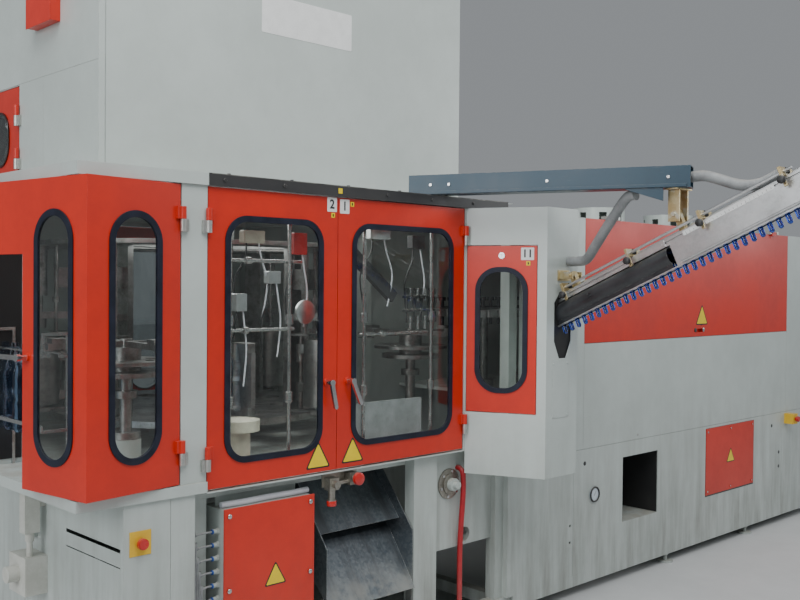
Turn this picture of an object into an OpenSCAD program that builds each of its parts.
// Rotary stretch-blow moulding machine for plastic bottles.
// A closed cell holds the blow wheel with its mould stations, a tall tower stands on the cell,
// a straight heating oven runs off to the right, a sloping rail brings the preforms in at the
// front and a neck rail takes the bottles out on the left.
// X runs along the machine's front to the right, Y into the machine and Z up.
// The origin is on the floor, under the axis of the blow wheel.

/* [Levels] */
// Gap between the floor and the base rails
rail_z = 55; // [45:1:75]
// Height of the base rails
rail_h = 59; // [50:1:70]
// Underside of the sill that runs round the bottle bay
sill_z = 894; // [885:1:905]
// Height of the bay sill
sill_h = 41; // [35:1:45]
// Underside of the front doors
door_z = 902; // [900:1:910]
// Underside of the ledge and the header above the doors
ledge_z = 2038; // [2020:1:2060]
// Height of the ledge
ledge_h = 47; // [40:1:60]
// Level of the bottle necks
neck_z = 1415; // [1405:1:1430]

/* [Blow cell] */
// Blow wheel axis to the front face
front_dist = 1300; // [1290:1:1320]
// Blow wheel axis to the left wall
left_dist = 1106; // [1090:1:1120]
// Blow wheel axis to the right end of the cell
right_dist = 1040; // [1030:1:1050]
// Blow wheel axis to the back wall
back_dist = 1000; // [980:1:1040]
// How far the bottle bay stands out on the left
bay_out = 172; // [160:1:180]
// Depth of the bottle bay
bay_depth = 900; // [880:1:920]
// Width of the column between the bay and the left door
column_w = 110; // [100:1:120]
// Depth of the column
column_d = 60; // [50:1:70]
// Thickness of the sheet panels
sheet = 3; // [2:0.5:4]
// Setback of the tower from the front face
tower_back = 400; // [380:1:420]
// Setback of the tower from the left wall
tower_in = 106; // [90:1:120]
// Height of the tower
tower_h = 1115; // [1050:5:1200]
// Level of the seam round the tower, above its foot
tower_seam = 448; // [440:1:470]

/* [Doors] */
// Width of the left front door
left_door_w = 636; // [630:1:640]
// Width of the right front door
right_door_w = 784; // [780:1:790]
// Depth of a door pan
door_t = 26; // [24:1:30]
// Gap round a door
door_gap = 3; // [2:0.5:4]
// Width of the bay door's front leaf
bay_leaf = 400; // [396:1:404]
// Width of the bay door's side leaf up to the bottle outlet
bay_side = 376; // [370:1:380]
// Angle at which the bay door stands ajar
bay_ajar = 9; // [6:1:12]
// Height of the band of the bay door above the bottle outlet
bay_band = 262; // [250:1:270]
// Height of the big windows
window_h = 950; // [930:1:960]
// Height of the window centres above the door's underside
window_mid = 558; // [550:1:565]
// Corner radius of the big windows
window_r = 100; // [80:1:115]
// Width of the left door's window
left_window_w = 480; // [470:1:490]
// Width of the right door's window
right_window_w = 626; // [600:1:636]
// Width of the two bay windows
bay_window_w = 226; // [216:1:230]
// Height of the two bay windows
bay_window_h = 888; // [870:1:900]
// Visible width of the rubber window seals
seal_w = 24; // [20:1:28]
// Thickness of the panes
pane_t = 6; // [4:0.5:8]
// Radius of the hinge pins
pin_r = 5; // [4:0.5:6]
// Length of one hinge knuckle
knuckle_h = 45; // [40:1:50]
// Level of the lower knuckles above a door's underside
knuckle_low = 117; // [100:1:140]
// Level of the upper knuckles below a door's top
knuckle_high = 127; // [120:1:127]
// Radial clearance of pins and shafts
run_gap = 0.05; // [0.02:0.01:0.1]
// Height of the door handles above the floor
handle_z = 1269; // [1255:1:1280]
// Length of the handle levers
lever_l = 104; // [90:1:110]

/* [Infeed housing] */
// How far the infeed housing stands out from the front
housing_out = 354; // [345:1:360]
// Sideways run of the housing's turned face
housing_run = 160; // [150:1:170]
// Width of the housing's side face
housing_w = 240; // [234:1:246]
// Underside of the infeed housing
housing_z = 783; // [775:1:790]
// Width of the infeed door
infeed_door_w = 336; // [330:1:338]
// Height of the infeed door
infeed_door_h = 780; // [770:1:780]
// Underside of the infeed door
infeed_door_z = 1080; // [1070:1:1090]
// Width of the infeed door's window
infeed_window_w = 254; // [244:1:260]
// Height of the infeed door's window
infeed_window_h = 590; // [580:1:600]

/* [Oven] */
// Left end of the oven from the blow wheel axis
oven_x = 990; // [985:1:1000]
// Right end of the oven from the blow wheel axis
oven_end = 4600; // [4560:5:4700]
// Depth of the oven
oven_d = 1200; // [1180:5:1240]
// Seam between the lower and the middle panels
oven_low = 788; // [776:1:796]
// Seam between the middle panel and the flap
oven_mid = 1363; // [1350:1:1376]
// Left edge of the flap
flap_x = 1624; // [1614:1:1634]
// Width of the flap
flap_w = 2457; // [2440:1:2470]
// Depth of the flap's pan
flap_t = 25; // [22:1:28]

/* [Blow wheel] */
// Number of mould stations
stations = 8; // [6:1:9]
// Radius of the circle of moulds
pitch_r = 750; // [740:1:760]
// Diameter of a closed mould
mould_d = 180; // [160:1:190]
// Height of a bottle below its neck
bottle_h = 318; // [300:1:325]
// Diameter of a bottle
bottle_d = 86; // [80:1:92]
// Radius of the transfer wheels
transfer_r = 375; // [370:1:380]
// Number of arms on a transfer wheel
arms = 4; // [3:1:5]
// Direction of the transfer wheels from the front line
transfer_turn = 43.6; // [43:0.2:44.4]
// Radius of the oven wheel
oven_wheel_r = 300; // [290:1:310]

/* [Preform rail] */
// Slope of the preform rail
rail_slope = 24; // [22:0.5:26]
// Length of the preform rail outside the housing
rail_l = 1290; // [1240:5:1320]
// Level of the preforms where the rail passes the housing
rail_pass_z = 1484; // [1475:1:1495]
// Spacing of the preforms in the rail
preform_pitch = 40; // [38:1:44]
// Diameter of a preform
preform_d = 26; // [22:1:28]
// Length of the boom
boom_l = 1210; // [1190:5:1230]
// Width and height of the boom
boom_s = 92; // [84:1:98]

/* [Hidden] */
$fn = 48;

paint_grey = [0.66, 0.69, 0.63];
paint_red = [0.80, 0.20, 0.13];
steel = [0.62, 0.63, 0.64];
dark = [0.12, 0.13, 0.15];

// main places, all from the blow wheel axis
front = -front_dist;
left = -left_dist;
right = right_dist;
back = back_dist;
bay_left = left - bay_out;
bay_back = front + bay_depth;
hinge_x = bay_left + bay_leaf;             // hinge line of the bay door
column_x = hinge_x;
doors_x = column_x + column_w;             // left edge of the front doors
split_x = doors_x + left_door_w;
doors_end = split_x + right_door_w;
rail_top = rail_z + rail_h;
bed_top = sill_z - 6;
bed_t = 40;
bay_low = sill_z + sill_h;
door_top = ledge_z - door_gap;
door_h = door_top - door_z;
roof_z = ledge_z + ledge_h;
beam = 60;                                 // section of posts and beams
tower_left = left + tower_in;
tower_front = front + tower_back;
tower_z = roof_z;
tower_top = tower_z + tower_h;
oven_back = front + oven_d;
oven_top = ledge_z + 8;
housing_turn = atan2(-housing_out, housing_run);
face_l = sqrt(housing_out * housing_out + housing_run * housing_run);
housing_x = doors_end + 14;
housing_side = front - housing_out;
pass_x = housing_x + housing_run + 0.51 * housing_w;
pass_hole = 130;                           // width of the octagonal hole
pass_z = rail_pass_z + 18;
wheel_gap = pitch_r + transfer_r;
transfer_x = wheel_gap * cos(transfer_turn);
transfer_y = -wheel_gap * sin(transfer_turn);
oven_wheel_y = front + oven_d / 2;
oven_wheel_x = transfer_x + sqrt(pow(transfer_r + oven_wheel_r, 2) - pow(oven_wheel_y - transfer_y, 2));
chain_end = flap_x + flap_w - oven_wheel_r - 60;
hinge_y = 12;                              // hinge axis in front of the door face
hair = 0.1;                                // hairline at a joint of two bars or sheets
jamb_w = 22;                               // post at the right edge of the front doors
jamb_gap = 14;                             // from the hinge line to the infeed housing
lip_t = 6;                                 // sheet lip under the front doors
seal_t = 5;                                // how far a seal stands out of its panel
seal_bite = 9;                             // how far a seal's lips reach over its panel
boom_turn = 22.5;
boom_x = 490;
boom_y = front + 110;
rail_axis_h = 62;                          // tube centre above the line of preforms

module block(x0, x1, y0, y1, z0, z1) {
    translate([min(x0, x1), min(y0, y1), min(z0, z1)])
        cube([abs(x1 - x0), abs(y1 - y0), abs(z1 - z0)]);
}

// a bar or sheet that keeps a hairline to the next one at each joint
module bar(x0, x1, y0, y1, z0, z1) {
    block(x0 + hair, x1 - hair, y0 + hair, y1 - hair, z0 + hair, z1 - hair);
}

module rod(x, y, z0, z1, r) {
    translate([x, y, z0]) cylinder(r = r, h = z1 - z0);
}

// a flat drawing in X and Z, made solid from depth y0 to y0 + t
module in_wall(y0, t) {
    translate([0, y0 + t, 0]) rotate([90, 0, 0]) linear_extrude(t) children();
}

// a rectangle about the origin with round corners
module round_rect(w, h, r) {
    square([w - 2 * r, h], center = true);
    square([w, h - 2 * r], center = true);
    for (sx = [-1, 1], sz = [-1, 1]) translate([sx * (w / 2 - r), sz * (h / 2 - r)]) circle(r);
}

function pill_r(w) = w / 2 - 0.5;

// the window parts stand about their own centre, y = 0 is the panel's outer face
module window_cut(w, h, r) {
    in_wall(-1, sheet + 2) round_rect(w - 2 * seal_bite, h - 2 * seal_bite, r - seal_bite);
}

module window_seal(w, h, r) {
    lip = seal_t - 0.5;
    difference() {
        union() {
            in_wall(-seal_t, lip) round_rect(w, h, r);
            in_wall(-0.5, 0.5) round_rect(w, h, r);
            in_wall(0, sheet) round_rect(w - 2 * seal_bite, h - 2 * seal_bite, r - seal_bite);
            in_wall(sheet, seal_t) round_rect(w, h, r);
        }
        in_wall(-seal_t - 1, sheet + 2 * seal_t + 2)
            round_rect(w - 2 * seal_w, h - 2 * seal_w, r - seal_w);
        in_wall((sheet - pane_t) / 2, pane_t)
            round_rect(w - 2 * seal_w + 12, h - 2 * seal_w + 12, r - seal_w + 6);
    }
}

module window_pane(w, h, r) {
    in_wall((sheet - pane_t) / 2, pane_t)
        round_rect(w - 2 * seal_w + 12, h - 2 * seal_w + 12, r - seal_w + 6);
}

// a folded pan, open at the back; local x from the hinge, z from the underside
module pan(w, h, t) {
    difference() {
        cube([w, t, h]);
        translate([sheet, sheet, sheet]) cube([w - 2 * sheet, t, h - 2 * sheet]);
    }
}

// moving knuckle: a barrel with a leaf on the door face and a blind bore for the pin
module door_knuckle(z) {
    difference() {
        union() {
            translate([0, -hinge_y, z]) cylinder(r = knuckle_r, h = knuckle_h);
            translate([door_gap, -hinge_y, z]) cube([22, hinge_y - 2 * hair, knuckle_h]);
        }
        translate([0, -hinge_y, z - 1]) cylinder(r = pin_r + run_gap, h = knuckle_h - 7);
    }
}

// fixed knuckle below it, with the pin standing in it and a leaf on the post
module post_knuckle(z, leaf = 25) {
    translate([0, -hinge_y, z - knuckle_h - 1]) cylinder(r = knuckle_r, h = knuckle_h);
    translate([-leaf, -hinge_y, z - knuckle_h - 1]) cube([leaf - 3, hinge_y, knuckle_h]);
    translate([0, -hinge_y, z - 2]) cylinder(r = pin_r, h = knuckle_h - 10);
}

knuckle_r = hinge_y - 0.5;
function knuckle_levels(h) = [knuckle_low, h - knuckle_high];

// places of the doors: local x runs from the hinge, local y into the machine
module at_left_door() {
    translate([doors_x, front, door_z]) children();
}

module at_right_door() {
    translate([doors_end, front, door_z]) mirror([1, 0, 0]) children();
}

module at_bay_door(turn) {
    translate([hinge_x, front, bay_low + door_gap]) translate([0, -hinge_y, 0])
        rotate([0, 0, turn]) translate([0, hinge_y, 0]) mirror([1, 0, 0]) children();
}

// on the bay door's side leaf: local x from the corner, local y into the machine
module at_bay_side(turn) {
    at_bay_door(turn) translate([bay_leaf, 0, 0]) rotate([0, 0, 90]) children();
}

// on the turned face of the infeed housing: local x along the face, local y inwards
module at_housing() {
    translate([housing_x, front, 0]) rotate([0, 0, housing_turn]) children();
}

module at_tower_door() {
    translate([tower_left, tower_door_y, tower_z + 8]) rotate([0, 0, -90]) mirror([1, 0, 0])
        children();
}

module at_rear_door() {
    translate([rear_door_x, back, door_z]) rotate([0, 0, 180]) children();
}

tower_door_y = tower_front + 730;
tower_door_w = 500;
tower_door_h = tower_seam - 16;
rear_door_x = 560;
rear_door_w = 560;
rear_window_w = 240;
rear_door_h = ledge_z - 30 - door_z;
infeed_door_x = 5;                         // margin left of the infeed door
housing_t = 3;
pivot_in = 10;                             // pivot pins of the infeed door from its edge
pivot_y = 7;
pivot_x = infeed_door_x + infeed_door_w - pivot_in;
pivot_r = 3;
infeed_t = 20;

// Welded frame of rails, posts and roof beams, on its levelling feet
module main_frame() color(paint_grey) {
    // ring of base rails under the blow cell, with cross rails under the bed
    bar(left, right, front + rail_in, front + rail_in + beam, rail_z, rail_top);
    bar(left, right, back - beam, back, rail_z, rail_top);
    for (x = [left, right - beam], y = [[front + rail_in + beam, -beam], [beam, back - beam]])
        bar(x, x + beam, y[0], y[1], rail_z, rail_top);
    bar(left, right, -beam, beam, rail_z, rail_top);
    // base rails under the oven
    bar(right, oven_end, front, front + beam, rail_z, rail_top);
    bar(right, oven_end, oven_back - beam, oven_back, rail_z, rail_top);
    for (x = [cross_x, oven_end - beam])
        bar(x, x + beam, front + beam, oven_back - beam, rail_z, rail_top);
    // posts
    for (x = [left + sheet, right - beam - sheet])
        bar(x, x + beam, back - beam - sheet, back - sheet, rail_top, ledge_z);
    bar(left + sheet, left + sheet + beam, bay_back + sheet, bay_back + sheet + beam,
        rail_top, ledge_z);
    bar(post_x, post_x + post_w, front + 30, front + 30 + beam, rail_top, bed_top);
    bar(end_post_x, end_post_x + beam, front + 30, front + 30 + beam, rail_top, bed_top);
    bar(doors_x, doors_x + beam, front + bed_in, front + bed_in + beam, rail_top, bed_top - bed_t);
    // door jamb on the right, which stands on the lip
    bar(doors_end + door_gap, doors_end + jamb_w, front, front + beam, sill_z, ledge_z);
    // roof beams under the deck and the tower
    bar(left + sheet, right - sheet, back - beam - sheet, back - sheet, ledge_z, roof_z);
    bar(tower_left, right - sheet, tower_front, tower_front + beam, ledge_z, roof_z - sheet);
    for (x = [tower_left, right - beam - sheet])
        bar(x, x + beam, tower_front + beam, back - beam - sheet, ledge_z, roof_z);
    // levelling feet
    for (x = foot_xs, y = foot_ys) foot(x, y);
    for (x = oven_foot_xs, y = oven_foot_ys) foot(x, y);
}

rail_in = 20;                              // base rail behind the front face
bed_in = 90;                               // bed behind the front face
post_w = 150;
post_x = doors_end - 292;
end_post_x = oven_x - beam;
cross_x = 2500;
foot_xs = [left + beam / 2, 0, right - beam / 2];
foot_ys = [front + rail_in + beam / 2, 0, back - beam / 2];
oven_foot_xs = [cross_x + beam / 2, (cross_x + oven_end) / 2, oven_end - beam / 2];
oven_foot_ys = [front + beam / 2, oven_back - beam / 2];

// foot plate, spindle and lock nut
module foot(x, y) translate([x, y, 0]) {
    cylinder(r = 45, h = 12, $fn = 32);
    cylinder(r = 11, h = rail_z - 12, $fn = 20);
    translate([0, 0, rail_z - 14]) cylinder(r = 18, h = 14, $fn = 6);
}

bearing_r = 62;
hub_r = 90;

// Machine bed: table plate on a pedestal, with the bearing housings of the three wheels
module machine_bed() color(paint_grey) {
    difference() {
        union() {
            block(left + sheet + beam, right - beam - sheet, front + bed_in + hair,
                  back - beam - sheet, bed_top - bed_t, bed_top);
            translate([0, 0, rail_top]) cylinder(r = 210, h = bed_top - bed_t - rail_top);
            translate([0, 0, bed_top]) cylinder(r = 230, h = 60);
            for (s = [-1, 1]) translate([s * transfer_x, transfer_y, bed_top])
                cylinder(r = bearing_r, h = 150);
        }
        translate([0, 0, bed_top - bed_t - 100]) cylinder(r = hub_r + run_gap, h = 400);
        for (s = [-1, 1]) translate([s * transfer_x, transfer_y, bed_top - bed_t - 1])
            cylinder(r = shaft_r + run_gap, h = 300);
    }
    // gearbox casting between the two front posts, with its flanged shaft end
    difference() {
        block(post_x + post_w, end_post_x, front + 60, front + bed_in, 420, bed_top);
        translate([gear_x + 120, front + 50, 470]) rotate([-90, 0, 0]) cylinder(r = 34, h = 60);
    }
    block(post_x + post_w, end_post_x, front + bed_in, front + 200, 700, bed_top - bed_t);
    translate([gear_x, front + 60, gear_z]) rotate([90, 0, 0]) {
        cylinder(r = 46, h = 14);
        cylinder(r = 30, h = 44);
        cylinder(r = 18, h = 66);
        for (a = [0:60:300]) rotate(a) translate([38, 0, 14]) cylinder(r = 5, h = 6);
    }
}

gear_x = post_x + 260;
gear_z = 730;
shaft_r = 25;

// Frame of the bottle bay: ledge on top, sill below, the column and the rear post
module bay_frame() color(paint_grey) {
    // ledge, turned back along the side
    bar(bay_left - 8, doors_x, front - 10, tower_front, ledge_z, roof_z);
    bar(bay_left - 8, tower_left, tower_front, bay_back, ledge_z, roof_z);
    // sill
    bar(bay_left - 8, doors_x, front - 10, front + 110, sill_z, bay_low);
    bar(bay_left - 8, left + sheet + beam, front + 110, bay_back, sill_z, bay_low);
    // column and rear post
    bar(column_x, doors_x, front, front + column_d, bay_low, ledge_z);
    bar(bay_left, left, bay_back - beam, bay_back, bay_low, ledge_z);
    // strut under the sill at the side
    bar(left - 26, left, strut_y, strut_y + 30, 656, sill_z);
}

strut_y = front + 690;

// Black header strip above the front doors
module header_strip() color(dark) {
    block(doors_x, housing_x + 290, front - 12, front + 30, ledge_z, roof_z);
    for (i = [0:4]) translate([doors_x + 100 + i * 300, front + 10, roof_z])
        cylinder(r = 8, h = 6, $fn = 6);
}

leg_w = 291;
leg_seam = 188;

// Grey sheet panels round the blow cell
module grey_panels() color(paint_grey) {
    // leg panel below the bay, in two parts with a seam, and its return
    difference() {
        bar(left, left + leg_seam, front, front + sheet, rail_top, sill_z);
        translate([estop_x, front - 1, estop_z]) rotate([-90, 0, 0]) cylinder(r = 12, h = 10);
    }
    bar(left + leg_seam + 1, left + leg_w, front, front + sheet, rail_top, sill_z);
    bar(left + leg_w - sheet, left + leg_w, front + sheet, front + bed_in, rail_top, sill_z);
    // side panel of the base, with two long slots
    difference() {
        bar(left, left + sheet, front + sheet, bay_back, rail_top, sill_z);
        for (z = [[722, 14], [667, 4]]) block(left - 1, left + sheet + 1, front + 20,
                                              front + 440, z[0], z[0] + z[1]);
    }
    // rest of the left side, in two parts
    for (y = [[bay_back, (bay_back + back) / 2 - 1], [(bay_back + back) / 2, back - sheet]])
        bar(left, left + sheet, y[0], y[1], rail_top, roof_z - sheet);
    // back wall round the opening of the rear door
    bar(left, rear_left, back - sheet, back, rail_top, ledge_z);
    bar(rear_right, right, back - sheet, back, rail_top, ledge_z);
    bar(rear_left, rear_right, back - sheet, back, rail_top, door_z - door_gap);
    bar(rear_left, rear_right, back - sheet, back, door_z + rear_door_h + door_gap, ledge_z);
    // right side behind the oven
    bar(right - sheet, right, oven_back, back - sheet, rail_top, ledge_z);
    // roof deck in front of the tower, with the bolt hole of the boom, and the strip beside it
    difference() {
        bar(doors_x, right, front + 30, tower_front + beam, roof_z - sheet, roof_z);
        translate([boom_x, boom_y, roof_z - 10]) cylinder(r = 8, h = 20);
    }
    bar(left, tower_left, bay_back, back - beam - sheet, roof_z - sheet, roof_z);
    // lip under the front doors
    bar(doors_x, doors_end + door_gap, front - 4, front + 110, sill_z - lip_t, sill_z);
    bar(doors_end + door_gap, doors_end + jamb_w, front, front + 110, sill_z - lip_t, sill_z);
    // screwed cover on the side of the infeed housing
    translate([pass_x - 14, housing_side - 2, pass_z - 442]) {
        block(-62, 62, 0, 2, 0, 264);
        for (x = [-54, 54], z = [10, 254]) translate([x, 0, z]) rotate([90, 0, 0])
            cylinder(r = 5, h = 3, $fn = 16);
    }
}

rear_left = rear_door_x - rear_door_w - door_gap;
rear_right = rear_door_x + door_gap;
estop_x = left + 66;
estop_z = 752;

// Tower over the blow wheel, of screwed sheets round a corner post
module tower_shell() color(paint_grey) {
    t = sheet;
    strip = 26;
    low_top = tower_z + tower_seam;
    side_seam = tower_front + 485;
    // front sheet, and the corner strip beside its gap, on the corner post
    bar(tower_left + strip + 4, right, tower_front, tower_front + t, tower_z, tower_top - t);
    bar(tower_left, tower_left + strip, tower_front, tower_front + t, tower_z, tower_top - t);
    bar(tower_left + t, tower_left + beam, tower_front + t, tower_front + beam, tower_z,
        tower_top - t);
    // left side: upper sheet, and lower sheets round the side door
    bar(tower_left, tower_left + t, tower_front + t, back - t, low_top + 0.6, tower_top - t);
    bar(tower_left, tower_left + t, tower_front + t, side_seam, tower_z, low_top);
    bar(tower_left, tower_left + t, side_seam + 0.6, tower_door_y - door_gap, tower_z, low_top);
    bar(tower_left, tower_left + t, tower_door_y + tower_door_w + door_gap, back - t, tower_z,
        low_top);
    // angle behind the horizontal seam
    bar(tower_left + t, tower_left + t + 4, tower_front + beam, back - t, low_top - 4,
        low_top + 20);
    // right side, back and roof
    bar(right - t, right, tower_front + t, back - t, tower_z, tower_top - t);
    bar(tower_left, right, back - t, back, tower_z, tower_top - t);
    bar(tower_left, right, tower_front, back, tower_top - t, tower_top);
}

// Small red terminal box on the side of the tower
module tower_box() color(paint_red) {
    y0 = tower_front + 330;
    z0 = tower_z + 650;
    difference() {
        block(tower_left - 45, tower_left, y0, y0 + 220, z0, z0 + 300);
        block(tower_left - 42, tower_left - 1, y0 + 3, y0 + 217, z0 + 3, z0 + 297);
    }
    block(tower_left - 48, tower_left - 45, y0 - 3, y0 + 223, z0 - 3, z0 + 303);
}

// plan of the housing; with a value, its inner outline that far inside each face
module housing_plan(in = 0) {
    k = in / sin(-housing_turn);
    polygon([[housing_x + k, front],
             [housing_x + housing_run + k - in * housing_run / housing_out, housing_side + in],
             [housing_x + housing_run + housing_w - in, housing_side + in],
             [housing_x + housing_run + housing_w - in, front]]);
}

// Infeed housing: folded sheet with the opening of the infeed door and the preform passage
module infeed_housing() color(paint_grey) {
    difference() {
        translate([0, 0, housing_z]) linear_extrude(ledge_z - housing_z) housing_plan();
        translate([0, 0, housing_z + housing_t]) linear_extrude(ledge_z - housing_z - 2 * housing_t)
            housing_plan(housing_t);
        // door opening
        at_housing() block(infeed_door_x - door_gap, infeed_door_x + infeed_door_w + door_gap,
                           -20, 30, infeed_door_z - door_gap,
                           infeed_door_z + infeed_door_h + door_gap);
        // long octagonal hole
        translate([pass_x, housing_side - 10, 0]) in_wall(0, 30) polygon(passage());
    }
    // ears that carry the pivot pins of the infeed door
    at_housing() for (z = [infeed_door_z - door_gap - 22,
                           infeed_door_z + infeed_door_h + door_gap + 2]) difference() {
        block(pivot_x - 12, pivot_x + 12, housing_t, 16, z, z + 20);
        translate([pivot_x, pivot_y, z - 1]) cylinder(r = pivot_r + run_gap, h = 22);
    }
}

function passage() = [[-28, pass_z + 140], [28, pass_z + 140], [pass_hole / 2, pass_z + 95],
                      [pass_hole / 2, pass_z - 85], [26, pass_z - 165], [-26, pass_z - 165],
                      [-pass_hole / 2, pass_z - 85], [-pass_hole / 2, pass_z + 95]];

panel_t = 3;
seam_x = oven_x + 550;
last_seam = 4028;
hatch_x = 2010;                            // air inlet in the lower middle panel
hatch_w = 372;
cover_x = 2952;
cover_w = 640;

// Oven cabinet: posts, rails, deck, roof, back and end walls
module oven_frame() color(paint_grey) {
    t = panel_t;
    for (x = [oven_x, flap_x - beam, flap_x + flap_w, oven_end - beam])
        bar(x, x + beam, front + t, front + beam, rail_top, oven_top - t);
    for (x = [right, oven_end - beam])
        bar(x, x + beam, oven_back - beam, oven_back - t, rail_top, oven_top - t);
    // rails above and below the flap, and behind the seam of the panels
    bar(flap_x, flap_x + flap_w, front + 30, front + beam, oven_top - 30, oven_top - t);
    bar(flap_x, flap_x + flap_w, front + t, front + beam, oven_mid - 40, oven_mid);
    bar(oven_x, oven_end, front + beam, front + beam + 20, oven_low - 20, oven_low + 20);
    // roof, back and end
    bar(right, oven_end, front + 30, oven_back, oven_top - t, oven_top);
    bar(right, oven_end, oven_back - t, oven_back, rail_top, oven_top - t);
    bar(oven_end - t, oven_end, front + beam, oven_back - beam, rail_top, oven_top - t);
    // deck that carries the lamps, the wheels and the chain, and the legs under it
    difference() {
        bar(deck_x, oven_end - beam, front + beam + 20, oven_back - t, oven_deck - 20, oven_deck);
        for (x = [oven_wheel_x, chain_end]) translate([x, oven_wheel_y, oven_deck - 30])
            cylinder(r = shaft_r + run_gap, h = 60);
    }
    for (x = [cross_x, oven_end - beam], y = [front + beam + 20, oven_back - beam - 40])
        bar(x, x + 40, y, y + 40, rail_top, oven_deck - 20);
    // cowls of the two fans on the roof, with their slots
    for (x = [0.4, 0.75]) translate([flap_x + x * flap_w, oven_wheel_y, oven_top + hair])
        difference() {
            cylinder(r = 170, h = 130);
            translate([0, 0, -1]) cylinder(r = 160, h = 122);
            for (a = [0:45:315]) rotate(a) translate([140, -24, 30]) cube([60, 48, 70]);
        }
}

oven_deck = neck_z - 340;
deck_x = oven_x + 400;

// Screwed and hung panels on the oven's front
module oven_panels() color(paint_grey) {
    y0 = front;
    y1 = front + panel_t;
    gap = 1.5;
    // panel between the infeed housing and the flap
    block(housing_x + housing_run + housing_w + 0.5, flap_x - gap, y0, y1, oven_low + gap,
          oven_top - panel_t);
    // middle panel
    block(flap_x, flap_x + flap_w, y0, y1, oven_low + gap, oven_mid - gap);
    // right end panel
    block(flap_x + flap_w + gap, oven_end, y0, y1, oven_low + gap, oven_top - panel_t);
    // lower left panel
    difference() {
        block(oven_x, seam_x - gap, y0, y1, rail_top, oven_low);
        for (z = [300, 390]) translate([seam_x - 28, y0 - 5, z]) rotate([-90, 0, 0])
            cylinder(r = 7, h = 20);
    }
    // lower middle panel with the air inlet, the gauge and the red cover
    difference() {
        block(seam_x, last_seam, y0, y1, rail_top, oven_low);
        block(hatch_x, hatch_x + hatch_w, y0 - 5, y1 + 5, hatch_z, hatch_z + hatch_h);
        translate([gauge_x, y0 - 5, gauge_z]) rotate([-90, 0, 0]) cylinder(r = gauge_r, h = 20);
        block(cover_x + 10, cover_x + cover_w - 10, y0 - 5, y1 + 5, cover_z + 10,
              cover_z + cover_h - 10);
    }
    // lower right panel
    block(last_seam + gap, oven_end, y0, y1, rail_top, oven_low);
    // duct box behind the air inlet, open to the front
    difference() {
        block(hatch_x - 4, hatch_x + hatch_w + 4, y1, y1 + 300, hatch_z - 4,
              hatch_z + hatch_h + 4);
        block(hatch_x, hatch_x + hatch_w, y1 - 5, y1 + 296, hatch_z, hatch_z + hatch_h);
    }
}

hatch_z = 330;
hatch_h = 370;
gauge_x = 1730;
gauge_z = 530;
gauge_r = 36;
cover_z = 345;
cover_h = 425;

// Screwed red cover on the oven's base
module oven_cover() color(paint_red) {
    block(cover_x, cover_x + cover_w, front - 4, front, cover_z, cover_z + cover_h);
    for (x = [25, cover_w / 2, cover_w - 25], z = [20, cover_h - 20])
        translate([cover_x + x, front - 4, cover_z + z]) rotate([90, 0, 0])
            cylinder(r = 8, h = 3);
}

// Pressure gauge in its hole
module oven_gauge() color("white") {
    translate([gauge_x, front - 4, gauge_z]) rotate([-90, 0, 0]) {
        difference() {
            cylinder(r = gauge_r + 6, h = 4);
            translate([0, 0, -1]) cylinder(r = gauge_r - 4, h = 3);
        }
        cylinder(r = gauge_r - run_gap, h = 34);
        translate([0, 0, 34]) cylinder(r = 8, h = 26);
    }
}

lamp_rows = 7;

// Lamp racks along the middle of the oven
module oven_lamps() color(steel) {
    x0 = oven_wheel_x + 360;
    x1 = chain_end - 360;
    n = 4;
    w = (x1 - x0) / n;
    for (i = [0:n - 1]) {
        block(x0 + i * w + 10, x0 + (i + 1) * w - 10, oven_wheel_y - 12, oven_wheel_y + 12,
              oven_deck, neck_z - 20);
        for (k = [0:lamp_rows - 1], s = [-1, 1])
            translate([x0 + i * w + 20, oven_wheel_y + s * 30, oven_deck + 60 + k * 38])
                rotate([0, 90, 0]) cylinder(r = 8, h = w - 40, $fn = 16);
        for (q = [10, w - 26], s = [-1, 1])
            block(x0 + i * w + q, x0 + i * w + q + 16, oven_wheel_y + s * 12, oven_wheel_y + s * 42,
                  oven_deck, neck_z - 26);
    }
}

chain_z = neck_z + 104;
link_n = 30;

// Chain of spindles that carries the preforms round the lamps
module spindle_chain() color(dark) {
    span = chain_end - oven_wheel_x;
    pitch = span / link_n;
    for (s = [-1, 1]) {
        block(oven_wheel_x, chain_end, oven_wheel_y + s * (oven_wheel_r + 34) - 4,
              oven_wheel_y + s * (oven_wheel_r + 34) + 4, chain_z - 26, chain_z + 26);
        for (i = [0:link_n]) {
            x = oven_wheel_x + i * pitch;
            y = oven_wheel_y + s * (oven_wheel_r + 34);
            translate([x, y, chain_z - 90]) cylinder(r = 11, h = 150, $fn = 14);
            translate([x, y, chain_z + 60]) cylinder(r = 22, h = 22, $fn = 14);
        }
        // guide rail of the chain and its stands
        for (x = [oven_wheel_x + 200, 0.5 * (oven_wheel_x + chain_end), chain_end - 200])
            block(x - 15, x + 15, oven_wheel_y + s * (oven_wheel_r + 60),
                  oven_wheel_y + s * (oven_wheel_r + 84), oven_deck, chain_z + 26);
        block(oven_wheel_x, chain_end, oven_wheel_y + s * (oven_wheel_r + 49) - 11,
              oven_wheel_y + s * (oven_wheel_r + 49) + 11, chain_z - 12, chain_z + 12);
    }
}

box_x = -680;
box_w = 430;
box_z = 200;
box_h = 610;
box_d = 160;

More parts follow.
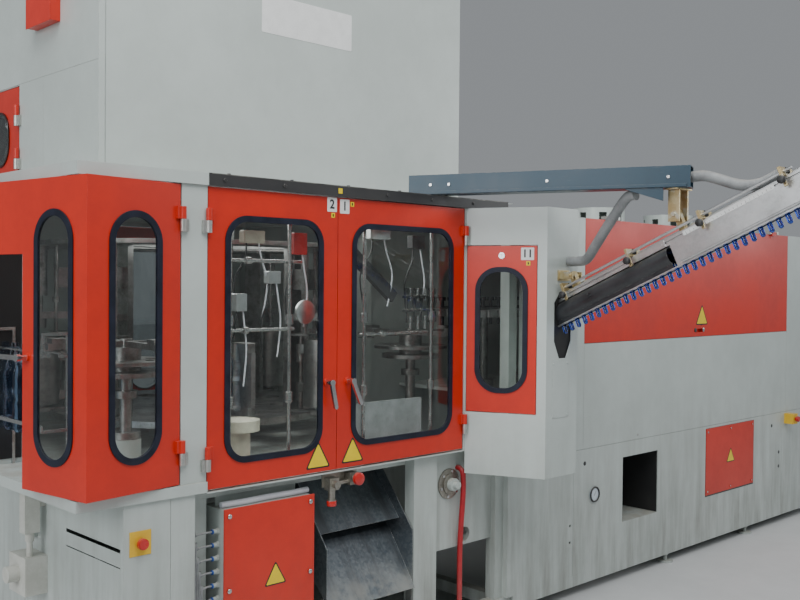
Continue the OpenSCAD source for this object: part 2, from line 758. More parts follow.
// Valve and terminal box below the left door, with a row of push-in fittings on its left
module electrical_box() color(paint_grey) {
    difference() {
        block(box_x, box_x + box_w, front + 8, front + box_d, box_z, box_z + box_h);
        block(box_x + 3, box_x + box_w - 3, front, front + box_d - 3, box_z + 3,
              box_z + box_h - 3);
    }
    // two brackets down from the bed, two legs on the rail
    for (x = [box_x + 20, box_x + box_w - 60])
        block(x, x + 40, front + 60, front + 66, rail_top, box_z);
    block(box_x + 20, box_x + box_w - 20, front + 100, front + 106, box_z + box_h,
          bed_top - bed_t);
    for (k = [0:fittings - 1]) translate([box_x, front + 50, box_z + 110 + k * fit_step])
        rotate([0, -90, 0]) {
            cylinder(r = 12, h = 10, $fn = 6);
            cylinder(r = 9, h = 24);
        }
}

fittings = 9;
fit_step = 52;

// Red cover of the box, with a screw at each corner
module electrical_cover() color(paint_red) {
    block(box_x - 4, box_x + box_w + 4, front + 2, front + 8, box_z - 4, box_z + box_h + 4);
    for (x = [18, box_w - 18], z = [24, box_h - 24])
        translate([box_x + x, front + 2, box_z + z]) rotate([90, 0, 0]) cylinder(r = 9, h = 4);
}

// a tube with flat-cut ends along points chosen by hand
function unit(v) = v / norm(v);
function seg(p, i) = unit(p[min(i + 1, len(p) - 1)] - p[max(i - 1, 0)]);
function side_of(t) = unit(cross(t, abs(t[2]) > 0.9 ? [1, 0, 0] : [0, 0, 1]));
function ring(c, t, r, n) = let (a = side_of(t), b = cross(t, a))
    [for (k = [0:n - 1]) c + r * (cos(360 * k / n) * a + sin(360 * k / n) * b)];
// points of a smooth curve through the chosen ones
function bend(p, i, u) = let (a = p[max(i - 1, 0)], b = p[i], c = p[i + 1],
                              d = p[min(i + 2, len(p) - 1)])
    0.5 * (2 * b + (c - a) * u + (2 * a - 5 * b + 4 * c - d) * u * u
           + (3 * b - a - 3 * c + d) * u * u * u);
function smooth(p, m) = [for (i = [0:len(p) - 2], k = [0:m - 1]) bend(p, i, k / m),
                         p[len(p) - 1]];

module tube(points, r, n = 8) {
    last = len(points) - 1;
    rings = [for (i = [0:last]) ring(points[i], seg(points, i), r, n)];
    polyhedron(
        points = [for (q = rings, v = q) v],
        faces = concat(
            [[for (k = [0:n - 1]) k]],
            [for (i = [0:last - 1], k = [0:n - 1])
                [i * n + k, (i + 1) * n + k, (i + 1) * n + (k + 1) % n, i * n + (k + 1) % n]],
            [[for (k = [n - 1:-1:0]) last * n + k]]));
}

// Air tubes beside the box, the white hose on it and the red hose by the gearbox
module hoses() color("gainsboro") {
    for (k = [0:fittings - 1]) {
        z = box_z + 110 + k * fit_step;
        x = box_x - 37 - k * air_lane;
        tube([[box_x - 24.3, front + 50, z], [x + 8, front + 50, z], [x + 2, front + 50, z - 3],
              [x, front + 50, z - 10], [x, front + 50, rail_top + 0.3]], air_tube_r);
    }
    tube(smooth([[box_x + 10, front + 50, box_z + box_h + 12.3],
                 [box_x + 120, front + 46, box_z + box_h + 12.3],
                 [box_x + 240, front + 52, box_z + box_h + 12.3],
                 [box_x + 360, front + 50, box_z + box_h + 12.3],
                 [box_x + box_w + 10, front + 58, box_z + box_h + 12.3]], 3), 12, 12);
    tube(smooth([[gear_x + 60, front + 59.7, 800], [gear_x + 60, front + 53, 800],
                 [gear_x + 60, front + 46, 800], [gear_x + 61, front + 28, 788],
                 [gear_x + 62, front + 22, 765], [gear_x + 70, front + 28, 680],
                 [gear_x + 68, front + 38, 520], [gear_x + 70, front + 46, 380],
                 [gear_x + 70, front + 46, rail_top + 0.3]], 3), 13, 10);
    // corrugated conduits: one down to the housing, one on to the rail's far end
    tube(smooth([[hang_x - 90, hang_y + 150, boom_z - conduit_r - 0.3],
                 [hang_x - 84, hang_y + 200, boom_z - 34],
                 [hang_x - 60, hang_y + 290, 1970], [hang_x - 20, hang_y + 400, 1860],
                 [pass_x + 30, housing_side - 110, 1800], [pass_x + 40, housing_side - 50, 1790],
                 [pass_x + 40, housing_side - 25, 1790],
                 [pass_x + 40, housing_side - 0.3, 1790]], 3), conduit_r, 12);
    tube(smooth([[boom_end_x, boom_end_y - 0.3, boom_z + 46],
                 [boom_end_x, boom_end_y - 70, boom_z + 44],
                 rail_point(1040, rail_top_h + 62), rail_point(1120, rail_top_h + conduit_r + 3),
                 rail_point(1200, rail_top_h + conduit_r + 0.3)], 3), conduit_r, 12);
}

air_lane = 9;                              // spacing of the air tubes beside the box
air_tube_r = 4;
conduit_r = 23;
rail_top_h = rail_axis_h + 76;             // top of the rail's profile above the preforms
function rail_point(a, h) = [pass_x, housing_side - a * cos(rail_slope) + h * sin(rail_slope),
                             rail_pass_z + a * sin(rail_slope) + h * cos(rail_slope)];
boom_end_x = boom_x + boom_l * sin(boom_turn);
boom_end_y = boom_y - boom_l * cos(boom_turn);

reg_x = box_x + box_w + 60;

// Air service unit with its two red knobs, hung from the lip under the doors
module regulators() color(steel) {
    z = sill_z - 6;
    block(reg_x, reg_x + 190, front + 20, front + 26, z - 60, z);
    block(reg_x + 10, reg_x + 60, front - 18, front + 20, z - 70, z - 20);
    block(reg_x + 120, reg_x + 170, front - 18, front + 20, z - 60, z - 10);
    translate([reg_x + 35, front - 18, z - 45]) rotate([90, 0, 0]) cylinder(r = 16, h = 22);
    translate([reg_x + 35, front + 1, z - 70]) rotate([180, 0, 0]) {
        cylinder(r = 15, h = 40);
        translate([0, 0, 40]) cylinder(r = 19, h = 26);
    }
    translate([reg_x + 145, front - 18, z - 32]) rotate([90, 0, 0]) {
        cylinder(r = 12, h = 16);
        translate([0, 0, 16]) cylinder(r = 24, h = 18);
    }
    translate([reg_x + 60, front + 1, z - 45]) rotate([0, 90, 0]) cylinder(r = 8, h = 60);
}

chute_x0 = box_x + box_w + 26;
chute_x1 = post_x - 6;

// Galvanised chute for rejected bottles, folded from two sheets with side cheeks
module discharge_chute() color(steel) {
    x0 = chute_x0 + 70;
    x1 = chute_x1;
    side = [[front + 30, 330], [front + 30, 560], [front + 260, bed_top - bed_t],
            [front + 420, bed_top - bed_t], [front + 420, 700]];
    translate([x1 - 3, 0, 0]) rotate([90, 0, 90]) linear_extrude(3) polygon(side);
    translate([x0, 0, 0]) rotate([90, 0, 90]) linear_extrude(3) polygon(side);
    translate([x0 + 3, 0, 0]) rotate([90, 0, 90]) linear_extrude(x1 - x0 - 6)
        polygon([[front + 10, 300], [front + 14, 298], [front + 190, 545], [front + 424, 725],
                 [front + 424, 730], [front + 187, 549]]);
    // upper sheet from the bed's edge, and the hanger straps
    translate([x0 + 3, 0, 0]) rotate([90, 0, 90]) linear_extrude(x1 - x0 - 6)
        polygon([[front + 120, 600], [front + 124, 598], [front + 330, bed_top - bed_t],
                 [front + 324, bed_top - bed_t]]);
    // feet
    for (x = [x0, x1 - 3]) block(x, x + 3, front + 30, front + 70, rail_top, 345);
}

// the preform rail: local x across, local y up the slope, local z square to it
module on_rail() {
    translate([pass_x, housing_side, rail_pass_z]) rotate([-rail_slope, 0, 0])
        mirror([0, 1, 0]) children();
}

// Aluminium profile, guide plates and guide rods of the preform rail
module preform_rail() color(steel) {
    on_rail() {
        // top profile, with its slots
        difference() {
            block(-22, 22, 24, rail_l, rail_axis_h + 44, rail_axis_h + 76);
            block(-6, 6, 20, rail_l + 10, rail_axis_h + 66, rail_axis_h + 80);
            for (s = [-1, 1]) translate([s * 22, 0, rail_axis_h + 60])
                block(-8, 8, 20, rail_l + 10, -4, 4);
        }
        // cover plate over the slot of the profile, with its two screws
        block(-25, -22, rail_mid - 230, rail_mid - 20, rail_axis_h + 46, rail_axis_h + 74);
        for (a = [rail_mid - 212, rail_mid - 38]) translate([-25, a, rail_axis_h + 60])
            rotate([0, -90, 0]) cylinder(r = 4, h = 2.5);
        // guide plates on both sides of the necks in the upper half
        for (s = [-1, 1]) block(s * 22 - 3, s * 22 + 3, rail_mid, rail_l, 8, rail_axis_h + 44);
        block(-19, 19, rail_mid, rail_l, rail_axis_h + 36, rail_axis_h + 44);
        // neck rails, the whole way
        for (s = [-1, 1]) block(s * 11, s * 27, -90, rail_l - 20, 2, 8);
        // chrome guide rods, which the brackets hold
        for (s = [-1, 1]) translate([s * 34, 90, rail_axis_h + 92]) rotate([-90, 0, 0])
            cylinder(r = 6, h = rail_l - 110);
        for (s = [-1, 1]) translate([s * 30.5, rail_mid + 30, 16]) rotate([-90, 0, 0])
            cylinder(r = 5, h = rail_l - rail_mid - 60);
    }
}

rail_mid = 0.52 * rail_l;

// Dark guard tube over the lower half of the rail
module rail_tube() color(dark) on_rail() {
    difference() {
        translate([0, -60, rail_axis_h]) rotate([-90, 0, 0]) cylinder(r = 43.8, h = rail_mid + 40);
        translate([0, -61, rail_axis_h]) rotate([-90, 0, 0]) cylinder(r = 40, h = rail_mid + 50);
        // slit at the bottom for the preforms
        block(-24, 24, -70, rail_mid + 60, 0, rail_axis_h);
    }
    // lips of the slit, which stand on the neck rails
    for (s = [-1, 1]) block(s * 21, s * 26, -60, rail_mid - 20, 8.2, 32);
}

// Zinc-plated clamps along the rail, its hanger from the boom and its seat on the housing
module rail_brackets() color("khaki") {
    on_rail() for (y = clamp_ys) difference() {
        union() {
            block(-50, 50, y, y + 12, rail_axis_h + 76, rail_axis_h + 112);
            for (s = [-1, 1]) block(s * 50 - 5, s * 50 + 5, y, y + 12, rail_axis_h + 30,
                                    rail_axis_h + 112);
        }
        for (s = [-1, 1]) translate([s * 34, y - 1, rail_axis_h + 92]) rotate([-90, 0, 0])
            cylinder(r = 6.1, h = 20);
    }
    // two hanger plates and the cross bolt below the boom, with the lug of the rail on it
    translate([hang_x, hang_y, 0]) {
        for (s = [-1, 1]) block(s * 34 - 4, s * 34 + 4, -26, 26, hang_z - 30, boom_z - 6);
        block(-60, 60, -30, 30, boom_z - 6, boom_z);
    }
    rail_lug(hang_y, hang_z);
    // arm out of the housing's side, with the lower lug
    block(pass_x - 44, pass_x + 44, housing_side - 6, housing_side, seat_z - 24, seat_z + 24);
    for (s = [-1, 1]) block(pass_x + s * 34 - 4, pass_x + s * 34 + 4, seat_y - 20,
                            housing_side - 6, seat_z - 16, seat_z + 16);
    rail_lug(seat_y, seat_z);
}

// place along and above the rail of a point given by its depth and level
function along_rail(y, z) = (housing_side - y) * cos(rail_slope) + (z - rail_pass_z) * sin(rail_slope);
function above_rail(y, z) = (z - rail_pass_z) * cos(rail_slope) - (housing_side - y) * sin(rail_slope);

module rail_lug(y, z) {
    a = along_rail(y, z);
    on_rail() block(-14, 14, a - 14, a + 14, rail_axis_h + 76, above_rail(y, z) + 16);
    translate([pass_x - 46, y, z]) rotate([0, 90, 0]) cylinder(r = 9, h = 92);
}

clamp_ys = [for (k = [0:3]) 100 + k * 0.29 * rail_l];
boom_z = roof_z + 6;
hang_y = boom_y - boom_l * cos(boom_turn) + 60;
hang_x = pass_x;
hang_z = boom_z - 110;
seat_y = housing_side - 60;
seat_z = rail_pass_z + 240;

// Row of preforms that hang by their necks in the rail
module preforms() color([0.2, 0.35, 0.85, 0.8]) {
    n = floor((rail_l - 40) / preform_pitch);
    on_rail() for (i = [0:n - 1]) translate([0, 10 + i * preform_pitch, 0]) {
        translate([0, 0, -28]) cylinder(r = preform_d / 2 - 2.5, h = 40);
        translate([0, 0, 8.3]) cylinder(r = preform_d / 2 + 3, h = 3);
        translate([0, 0, 11.3]) cylinder(r = preform_d / 2 - 3, h = 18);
        translate([0, 0, -28]) sphere(r = preform_d / 2 - 2.5);
    }
}

// Boom from the roof out over the preform rail
module boom() color([0.16, 0.33, 0.42]) {
    translate([boom_x, boom_y, boom_z]) rotate([0, 0, boom_turn]) {
        difference() {
            block(-boom_s / 2, boom_s / 2, -boom_l, 60, 0, boom_s);
            block(-boom_s / 2 + 5, boom_s / 2 - 5, -boom_l - 10, 70, 5, boom_s - 5);
        }
        // foot plate on the roof, and its bolt
        block(-80, 80, -60, 60, -6, 0);
        translate([0, 0, -9]) cylinder(r = 7.9, h = 30);
    }
}

// Fixed halves of the block hinges, with their pins
module hinge_blocks() color("white") {
    for (z = knuckle_levels(door_h)) {
        at_left_door() post_knuckle(z);
        at_right_door() post_knuckle(z, jamb_gap - 1);
    }
    for (z = knuckle_levels(bay_door_h)) at_bay_door(0) post_knuckle(z);
    for (z = knuckle_levels(tower_door_h)) at_tower_door() post_knuckle(z);
    for (z = knuckle_levels(rear_door_h)) at_rear_door() post_knuckle(z);
    // pivot pins of the infeed door
    at_housing() for (z = [infeed_door_z - door_gap - 22, infeed_door_z + infeed_door_h - 8])
        translate([pivot_x, pivot_y, z]) cylinder(r = pivot_r, h = 30);
    // hinge rods of the oven flap and their brackets
    for (x = [0.1, 0.5, 0.9]) translate([flap_x + x * flap_w, front - flap_axis, flap_hinge_z])
        rotate([0, 90, 0]) {
            translate([0, 0, -60]) cylinder(r = pin_r, h = 120);
        }
    for (x = [0.1, 0.5, 0.9], s = [-1, 1]) translate([flap_x + x * flap_w + s * 50, 0, 0])
        block(-10, 10, front - flap_axis - 8, front + 30, oven_top - 2, oven_top + 16);
}

bay_door_h = ledge_z - door_gap - bay_low - door_gap;
flap_axis = 8;
flap_hinge_z = oven_top + 6;

// Yellow plates of the two emergency stops
module estop_plates() color("gold") {
    difference() {
        block(estop_x - 42, estop_x + 42, front - 3, front, estop_z - 44, estop_z + 44);
        translate([estop_x, front - 5, estop_z]) rotate([-90, 0, 0]) cylinder(r = 12, h = 10);
    }
    difference() {
        block(estop2_x - 36, estop2_x + 36, front - 66, front, estop2_z - 36, estop2_z + 36);
        translate([estop2_x, front - 70, estop2_z]) rotate([-90, 0, 0]) cylinder(r = 12, h = 40);
    }
}

estop2_x = 4100;
estop2_z = 740;

module estop_button(x, y, z) {
    translate([x, y, z]) rotate([90, 0, 0]) {
        translate([0, 0, -16]) cylinder(r = 12 - run_gap, h = 26);
        translate([0, 0, 10]) cylinder(r = 20, h = 14);
        translate([0, 0, 24]) cylinder(r = 18, h = 4);
    }
}

// Mushroom buttons
module left_estop() color("red") estop_button(estop_x, front - 3, estop_z);
module right_estop() color("red") estop_button(estop2_x, front - 66, estop2_z);

// Neck rail on which the bottles leave, on two posts with an arm over the bottles
module outfeed_rail() color(steel) {
    y1 = bay_back - beam;
    for (s = [-1, 1]) block(out_x + s * 15.6, out_x + s * 23, out_y, y1, neck_z - 6, neck_z);
    // side guide
    block(out_x - 50.5, out_x - 43.5, out_y, y1, neck_z - 280, neck_z - 265);
    for (y = [out_y, y1 - 12]) {
        block(out_x + 48, out_x + 60, y, y + 12, bay_low, neck_z + 74);
        block(out_x - 46, out_x + 48, y, y + 12, neck_z + 62, neck_z + 74);
        block(out_x - 46, out_x - 36, y, y + 12, neck_z - 18, neck_z + 62);
        for (s = [-1, 1]) block(out_x + s * 17, out_x + s * 48, y, y + 12, neck_z - 18, neck_z - 6);
        block(out_x - 50.5, out_x + 48, y, y + 12, neck_z - 292, neck_z - 280);
    }
}

out_x = -transfer_x - transfer_r + 14 - 25;
out_y = front + 330;
bottle_step = 90;
bottle_y = out_y + 270;

// Bottles that hang in the outfeed rail
module bottles() color([0.6, 0.75, 0.9, 0.5]) {
    for (k = [0:2]) translate([out_x, bottle_y + k * bottle_step, neck_z]) bottle();
}

socket_y = front + 600;

// Socket and control box at the side of the base, with the hand pendant above it
module socket_box() color("gainsboro") {
    block(left - 90, left, socket_y, socket_y + 150, 450, 600);
    translate([left - 90, socket_y + 75, 530]) rotate([0, -90, 0]) cylinder(r = 32, h = 46);
    translate([left - 60, socket_y + 30, 600]) cylinder(r = 12, h = 90);
    translate([left - 60, socket_y + 30, 660]) cylinder(r = 17, h = 34);
    block(left - 90, left - 30, socket_y + 5, socket_y + 55, 694, sill_z - 14);
    block(left - 30, left, socket_y + 20, socket_y + 40, 790, 850);
}

// Red door of the bottle bay: a front leaf and a side leaf with the outlet notch
module bay_door() color(paint_red) {
    at_bay_door(bay_ajar) {
        difference() {
            union() {
                translate([door_gap, 0, 0]) cube([bay_leaf - door_gap, door_t, bay_door_h]);
                translate([bay_leaf - door_t, 0, 0]) cube([door_t, bay_side, bay_door_h]);
                translate([bay_leaf - door_t, bay_side - 1, bay_door_h - bay_band])
                    cube([door_t, bay_depth - beam - bay_side - 8, bay_band]);
            }
            // hollow of the folded sheet
            translate([door_gap + sheet, sheet, sheet])
                cube([bay_leaf - door_gap - 2 * sheet, door_t, bay_door_h - 2 * sheet]);
            translate([bay_leaf - door_t - 1, sheet, sheet])
                cube([door_t + 1 - sheet, bay_side - 2 * sheet, bay_door_h - 2 * sheet]);
            translate([bay_leaf - door_t - 1, bay_side - 10, bay_door_h - bay_band + sheet])
                cube([door_t + 1 - sheet, bay_depth - beam - bay_side - 2, bay_band - 2 * sheet]);
            translate([bay_leaf / 2, 0, bay_window_z])
                window_cut(bay_window_w, bay_window_h, pill_r(bay_window_w));
            translate([bay_leaf, bay_side / 2, bay_window_z]) rotate([0, 0, 90])
                window_cut(bay_window_w, bay_window_h, pill_r(bay_window_w));
        }
        for (z = knuckle_levels(bay_door_h)) door_knuckle(z);
    }
    at_bay_side(bay_ajar) handle_boss(bay_side - 30, bay_handle_z);
}

bay_window_z = bay_door_h / 2 - 4;
bay_handle_z = 1405 - bay_low;

module bay_panes() {
    at_bay_door(bay_ajar) {
        translate([bay_leaf / 2, 0, bay_window_z]) children();
        translate([bay_leaf, bay_side / 2, bay_window_z]) rotate([0, 0, 90]) children();
    }
}

module bay_glass() color([0.3, 0.36, 0.4, 0.4])
    bay_panes() window_pane(bay_window_w, bay_window_h, pill_r(bay_window_w));

module bay_seals() color(dark)
    bay_panes() window_seal(bay_window_w, bay_window_h, pill_r(bay_window_w));

// round boss on a door face that the handle's stud turns in; local place x, z
module handle_boss(x, z) {
    translate([x, 0, z]) rotate([90, 0, 0]) difference() {
        cylinder(r = 15, h = 8);
        translate([0, 0, -1]) cylinder(r = stud_r + run_gap, h = 12);
    }
}

stud_r = 9;

// stud and lever; local place x, z, the lever turned by a from hanging straight down
module lever(x, z, a) {
    translate([x, 0, z]) rotate([90, 0, 0]) {
        translate([0, 0, 0.5]) cylinder(r = stud_r, h = 39);
        rotate([0, 0, a]) {
            translate([0, 0, 30]) cylinder(r = 13, h = 16);
            translate([-9, -lever_l, 32]) cube([18, lever_l, 12]);
            translate([0, -lever_l, 32]) cylinder(r = 9, h = 12);
        }
    }
}

module bay_handle() color("silver")
    at_bay_side(bay_ajar) lever(bay_side - 30, bay_handle_z, 90);

module front_leaf(w, window_w) {
    difference() {
        translate([door_gap, 0, 0]) pan(w - 1.5 * door_gap, door_h, door_t);
        translate([w / 2, 0, window_mid]) window_cut(window_w, window_h, window_r);
    }
    for (z = knuckle_levels(door_h)) door_knuckle(z);
    handle_boss(w - 58, handle_z - door_z);
}

module left_door() color(paint_red) at_left_door() front_leaf(left_door_w, left_window_w);
module left_glass() color([0.3, 0.36, 0.4, 0.4]) at_left_door()
    translate([left_door_w / 2, 0, window_mid]) window_pane(left_window_w, window_h, window_r);
module left_seal() color(dark) at_left_door()
    translate([left_door_w / 2, 0, window_mid]) window_seal(left_window_w, window_h, window_r);
module left_handle() color("silver") at_left_door() lever(left_door_w - 58, handle_z - door_z, 12);

module right_door() color(paint_red) at_right_door() front_leaf(right_door_w, right_window_w);
module right_glass() color([0.3, 0.36, 0.4, 0.4]) at_right_door()
    translate([right_door_w / 2, 0, window_mid]) window_pane(right_window_w, window_h, window_r);
module right_seal() color(dark) at_right_door()
    translate([right_door_w / 2, 0, window_mid]) window_seal(right_window_w, window_h, window_r);
module right_handle() color("silver") at_right_door()
    lever(right_door_w - 58, handle_z - door_z, -25);

// Infeed door, flush in the turned face, on two pivot pins at its right edge
module infeed_door() color(paint_red) {
    at_housing() difference() {
        translate([infeed_door_x, 0, infeed_door_z]) pan(infeed_door_w, infeed_door_h, infeed_t);
        translate([infeed_mid_x, 0, infeed_mid_z])
            window_cut(infeed_window_w, infeed_window_h, infeed_window_r);
        for (z = [infeed_door_z - 2, infeed_door_z + infeed_door_h - sheet - 2])
            translate([pivot_x, pivot_y, z]) cylinder(r = pivot_r + run_gap, h = sheet + 4);
        translate([lock_x, -1, lock_z]) rotate([-90, 0, 0]) cylinder(r = lock_r + run_gap, h = 10);
    }
}

infeed_mid_x = infeed_door_x + infeed_door_w / 2;
infeed_mid_z = infeed_door_z + 0.495 * infeed_door_h;
infeed_window_r = 112;
lock_x = infeed_mid_x;
lock_z = infeed_door_z + infeed_door_h - 46;
lock_r = 11;

module infeed_glass() color([0.3, 0.36, 0.4, 0.4]) at_housing()
    translate([infeed_mid_x, 0, infeed_mid_z])
        window_pane(infeed_window_w, infeed_window_h, infeed_window_r);
module infeed_seal() color(dark) at_housing() translate([infeed_mid_x, 0, infeed_mid_z])
    window_seal(infeed_window_w, infeed_window_h, infeed_window_r);

// Round key lock with its tongue
module infeed_lock() color("silver") at_housing() translate([lock_x, 0, lock_z])
    rotate([90, 0, 0]) difference() {
        union() {
            translate([0, 0, 0.3]) cylinder(r = lock_r + 4, h = 3);
            translate([0, 0, -14]) cylinder(r = lock_r, h = 15);
            translate([-8, 0, -17]) cube([16, 34, 3]);
        }
        translate([-1.5, -6, 1]) cube([3, 12, 4]);
    }

// Side door of the tower with its window
module tower_door() color(paint_red) at_tower_door() {
    difference() {
        translate([door_gap, 0, 0]) pan(tower_door_w - 1.5 * door_gap, tower_door_h, 20);
        translate([tower_door_w / 2, 0, tower_door_h / 2]) window_cut(300, 250, 100);
    }
    for (z = knuckle_levels(tower_door_h)) door_knuckle(z);
}

module tower_window() color(dark) at_tower_door()
    translate([tower_door_w / 2, 0, tower_door_h / 2]) {
        window_seal(300, 250, 100);
        window_pane(300, 250, 100);
    }

// Rear door with its tall window
module rear_door() color(paint_red) at_rear_door() {
    difference() {
        translate([door_gap, 0, 0]) pan(rear_door_w - 1.5 * door_gap, rear_door_h, door_t);
        translate([rear_door_w / 2, 0, window_mid])
            window_cut(rear_window_w, bay_window_h, pill_r(rear_window_w));
    }
    for (z = knuckle_levels(rear_door_h)) door_knuckle(z);
}

module rear_window() color(dark) at_rear_door() translate([rear_door_w / 2, 0, window_mid]) {
    window_seal(rear_window_w, bay_window_h, pill_r(rear_window_w));
    window_pane(rear_window_w, bay_window_h, pill_r(rear_window_w));
}

// Top-hung flap of the oven: pan, grip recess and hinge eyes
module oven_flap() color(paint_red) {
    h = oven_top - 4 - oven_mid;
    translate([flap_x + 1.5, front, oven_mid + 1.5]) difference() {
        pan(flap_w - 3, h - 1.5, flap_t);
        translate([flap_w / 2 - 45, -1, 26]) cube([90, 40, 22]);
        translate([flap_w / 2 + 20, -1, 74]) rotate([-90, 0, 0]) cylinder(r = 7, h = 20);
    }
    // cup behind the grip slot
    translate([flap_x + flap_w / 2 - 48 + 1.5, front + sheet, oven_mid + 24]) difference() {
        cube([96, 18, 30]);
        translate([3, -1, 3]) cube([90, 16, 24]);
    }
    for (x = [0.1, 0.5, 0.9]) difference() {
        translate([flap_x + x * flap_w - 30, 0, 0]) {
            block(0, 60, front - flap_axis - 8, front, oven_top - 14, flap_hinge_z + 8);
            block(0, 60, front - 2, front + 3, oven_mid + h - 30, oven_top - 4);
        }
        translate([flap_x + x * flap_w - 40, front - flap_axis, flap_hinge_z]) rotate([0, 90, 0])
            cylinder(r = pin_r + run_gap, h = 80);
    }
}

wheel_z = bed_top + 60.5;
wheel_disc = neck_z - bottle_h - 80;
head_z = neck_z + 60;
head_top = 1960;

function station_angle(i) = 360 / stations * (i + 0.5);

// Blow wheel: hub, lower and upper disc, and the spine of each station
module blow_wheel() color(steel) {
    // shaft, hub and cap
    rod(0, 0, bed_top - bed_t - 60, wheel_z + 10, hub_r);
    rod(0, 0, wheel_z, wheel_z + 30, 220);
    rod(0, 0, wheel_z + 30, head_top - 60, 150);
    rod(0, 0, head_top - 60, head_top, 200);
    // lower disc with lightening holes, upper ring
    difference() {
        rod(0, 0, wheel_disc, wheel_disc + 30, pitch_r - 40);
        for (i = [0:stations - 1]) rotate(station_angle(i) + 180 / stations)
            translate([0.62 * pitch_r, 0, wheel_disc - 1]) cylinder(r = 70, h = 40);
    }
    difference() {
        rod(0, 0, head_top - 110, head_top - 90, pitch_r + 40);
        rod(0, 0, head_top - 120, head_top - 80, pitch_r - 190);
    }
    for (i = [0:stations - 1]) rotate(station_angle(i)) {
        // spokes of the upper ring
        block(140, pitch_r - 180, -30, 30, head_top - 115, head_top - 90);
        // spine that carries mould and stretch unit
        block(pitch_r - 190, pitch_r - 150, -50, 50, wheel_disc + 30, head_top - 110);
        // bottom bracket
        block(pitch_r - 150, pitch_r + 30, -45, 45, mould_bottom - 40, mould_bottom - 18);
        rod(pitch_r, 0, mould_bottom - 18, mould_bottom - 1, 34);
    }
}

mould_bottom = neck_z - bottle_h - 22;
mould_top = neck_z - 12;
open_station = stations - 3;               // station that stands open at the left door
open_turn = 28;

// a half of a mould with its carrier and hinge eyes, swung open about the station's pin
module mould_half(s, turn) {
    pin_x = pitch_r - mould_pin;
    translate([pin_x, 0, 0]) rotate([0, 0, s * turn]) translate([-pin_x, 0, 0]) difference() {
        union() {
            intersection() {
                rod(pitch_r, 0, mould_bottom, mould_top, mould_d / 2);
                block(pitch_r - mould_d, pitch_r + mould_d, s * 0.4, s * mould_d, mould_bottom,
                      mould_top);
            }
            for (z = eye_levels(s)) {
                rod(pin_x, 0, z, z + eye_h, eye_r);
                block(pin_x, pitch_r - 60, s * 0.4, s * eye_r, z, z + eye_h);
            }
            // locking ear
            block(pitch_r + mould_d / 2 - 12, pitch_r + mould_d / 2 + 22, s * 0.4, s * 24,
                  mould_bottom + 40, mould_top - 40);
        }
        translate([pitch_r, 0, neck_z]) mirror([0, 0, 1]) bottle_form(0.3, bottle_h);
        for (z = eye_levels(s)) rod(pin_x, 0, z - 1, z + eye_h + 1, mould_pin_r + run_gap);
    }
}

mould_pin = 118;                           // hinge pin from the mould's axis
mould_pin_r = 12;
eye_r = 24;
eye_h = 44;
function eye_levels(s) = [for (k = [0:1]) mould_bottom + (s > 0 ? 20 : 66) + k * 190];

// outline of a bottle turned upside down, its neck ring at 0; grown by g, cut at the top of it
module bottle_form(g, h) {
    r = bottle_d / 2 + g;
    rotate_extrude() polygon([[0, 0], [14 + g, 0], [16 + g, 10], [r, 98], [r, h - 150],
        [r - 6, h - 130], [r, h - 110], [r, h - 12], [r - 8, h], [0, h]]);
}

module bottle() {
    mirror([0, 0, 1]) bottle_form(0, bottle_h);
    cylinder(r = 14, h = 0.4);
    translate([0, 0, 0.4]) cylinder(r = 17, h = 3);
    translate([0, 0, 3.4]) cylinder(r = 13, h = 17);
}

// Mould halves and hinge pins of all stations; one station stands open
module moulds() color("gray") for (i = [0:stations - 1]) rotate(station_angle(i)) {
    for (s = [-1, 1]) mould_half(s, i == open_station ? open_turn : 0);
    rod(pitch_r - mould_pin, 0, mould_bottom - 18, mould_top + 16, mould_pin_r);
}

// Finished bottle in the open station, held by its neck under the nozzle
module blown_bottle() color([0.6, 0.75, 0.9, 0.5])
    rotate(station_angle(open_station)) translate([pitch_r, 0, neck_z + 9.2]) bottle();

// Stretch and blow heads above the moulds
module stretch_units() color("silver") {
    for (i = [0:stations - 1]) rotate(station_angle(i)) {
        // carriage arm and nozzle
        block(pitch_r - 150, pitch_r + 36, -32, 32, neck_z + 78, neck_z + 112);
        rod(pitch_r, 0, neck_z + 30, neck_z + 78, 26);
        // stretch cylinder, its rod and end caps
        rod(pitch_r, 0, neck_z + 112, neck_z + 190, 9);
        rod(pitch_r, 0, neck_z + 190, head_top - 130, 30);
        rod(pitch_r, 0, head_top - 130, head_top - 110, 38);
        // two guide rods with collars
        for (s = [-1, 1]) {
            rod(pitch_r - 70, s * 46, mould_top + 20, head_top - 110, 9);
            rod(pitch_r - 70, s * 46, neck_z + 160, neck_z + 185, 17);
        }
        block(pitch_r - 150, pitch_r - 40, -62, 62, mould_top + 16, mould_top + 26);
        // valve block
        block(pitch_r - 150, pitch_r - 60, -30, 30, neck_z + 230, neck_z + 330);
    }
}

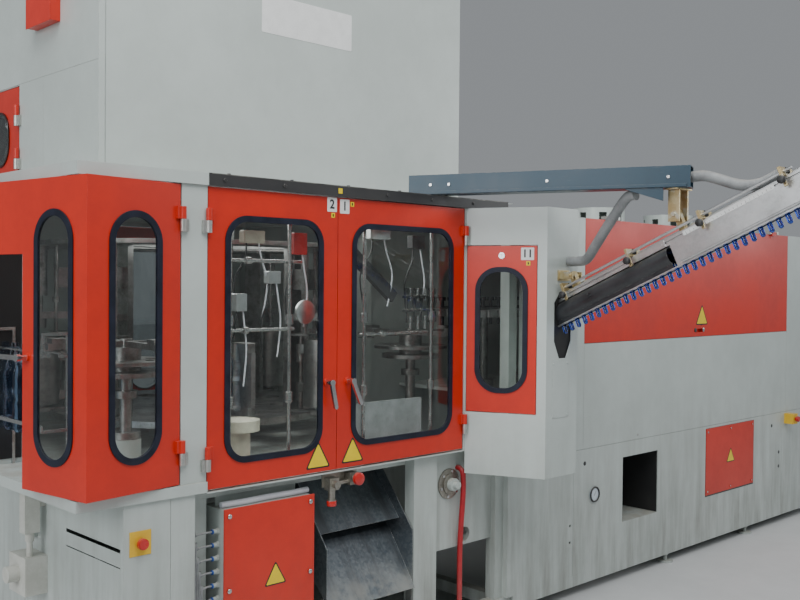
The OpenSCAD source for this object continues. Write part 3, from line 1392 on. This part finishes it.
module transfer_wheel(turn) {
    // shaft, collar on the bearing and the plates of the cam
    rod(0, 0, bed_top - bed_t + 5, neck_z + 30, shaft_r);
    rod(0, 0, bed_top + 150.5, bed_top + 180, 58);
    rod(0, 0, neck_z - 210, neck_z - 180, 48);
    rod(0, 0, neck_z - 120, neck_z - 100, 150);
    difference() {
        rod(0, 0, neck_z - 70, neck_z - 55, 190);
        for (a = [0:60:300]) rotate(a) translate([120, 0, neck_z - 80]) cylinder(r = 30, h = 40);
    }
    rod(0, 0, neck_z - 100, neck_z - 2, 60);
    for (i = [0:arms - 1]) rotate(turn + 360 / arms * i) {
        // arm, slide block and gripper fingers
        block(0, transfer_r - 60, -16, 16, neck_z - 2, neck_z + 22);
        block(transfer_r - 130, transfer_r - 66, -26, 26, neck_z + 22, neck_z + 40);
        block(transfer_r - 70, transfer_r - 50, -28, 28, neck_z - 8, neck_z + 22);
        for (s = [-1, 1]) block(transfer_r - 52, transfer_r - 14, s * 21, s * 28, neck_z - 8,
                                neck_z - 2);
    }
}

// Infeed and outfeed transfer wheels with their gripper arms
module infeed_wheel() color(steel) translate([transfer_x, transfer_y, 0])
    transfer_wheel(180 / arms - 3 * transfer_turn);
module outfeed_wheel() color(steel) translate([-transfer_x, transfer_y, 0])
    transfer_wheel(180 / arms + 3 * transfer_turn);

teeth = 32;

module toothed_wheel() {
    rod(0, 0, oven_deck - 16, chain_z - 20, shaft_r);
    rod(0, 0, oven_deck + 0.5, oven_deck + 60, 60);
    difference() {
        rod(0, 0, chain_z - 20, chain_z + 20, oven_wheel_r + 14);
        for (a = [0:60:300]) rotate(a) translate([0.6 * oven_wheel_r, 0, chain_z - 30])
            cylinder(r = 62, h = 60);
        for (i = [0:teeth - 1]) rotate(360 / teeth * i)
            translate([oven_wheel_r + 18, 0, chain_z - 30]) cylinder(r = 12, h = 60, $fn = 16);
    }
}

// Toothed wheels of the spindle chain: the driven one on the left, the idler on the right
module oven_wheel() color(steel) translate([oven_wheel_x, oven_wheel_y, 0]) toothed_wheel();
module idler_wheel() color(steel) translate([chain_end, oven_wheel_y, 0]) toothed_wheel();

main_frame();
machine_bed();
bay_frame();
header_strip();
grey_panels();
tower_shell();
tower_box();
infeed_housing();
oven_frame();
oven_panels();
oven_cover();
oven_gauge();
oven_lamps();
spindle_chain();
electrical_box();
electrical_cover();
hoses();
regulators();
discharge_chute();
preform_rail();
rail_tube();
rail_brackets();
preforms();
boom();
hinge_blocks();
estop_plates();
outfeed_rail();
bottles();
socket_box();
bay_door();
bay_glass();
bay_seals();
bay_handle();
left_door();
left_glass();
left_seal();
left_handle();
right_door();
right_glass();
right_seal();
right_handle();
infeed_door();
infeed_glass();
infeed_seal();
infeed_lock();
tower_door();
tower_window();
rear_door();
rear_window();
oven_flap();
left_estop();
right_estop();
blow_wheel();
moulds();
stretch_units();
blown_bottle();
infeed_wheel();
outfeed_wheel();
oven_wheel();
idler_wheel();
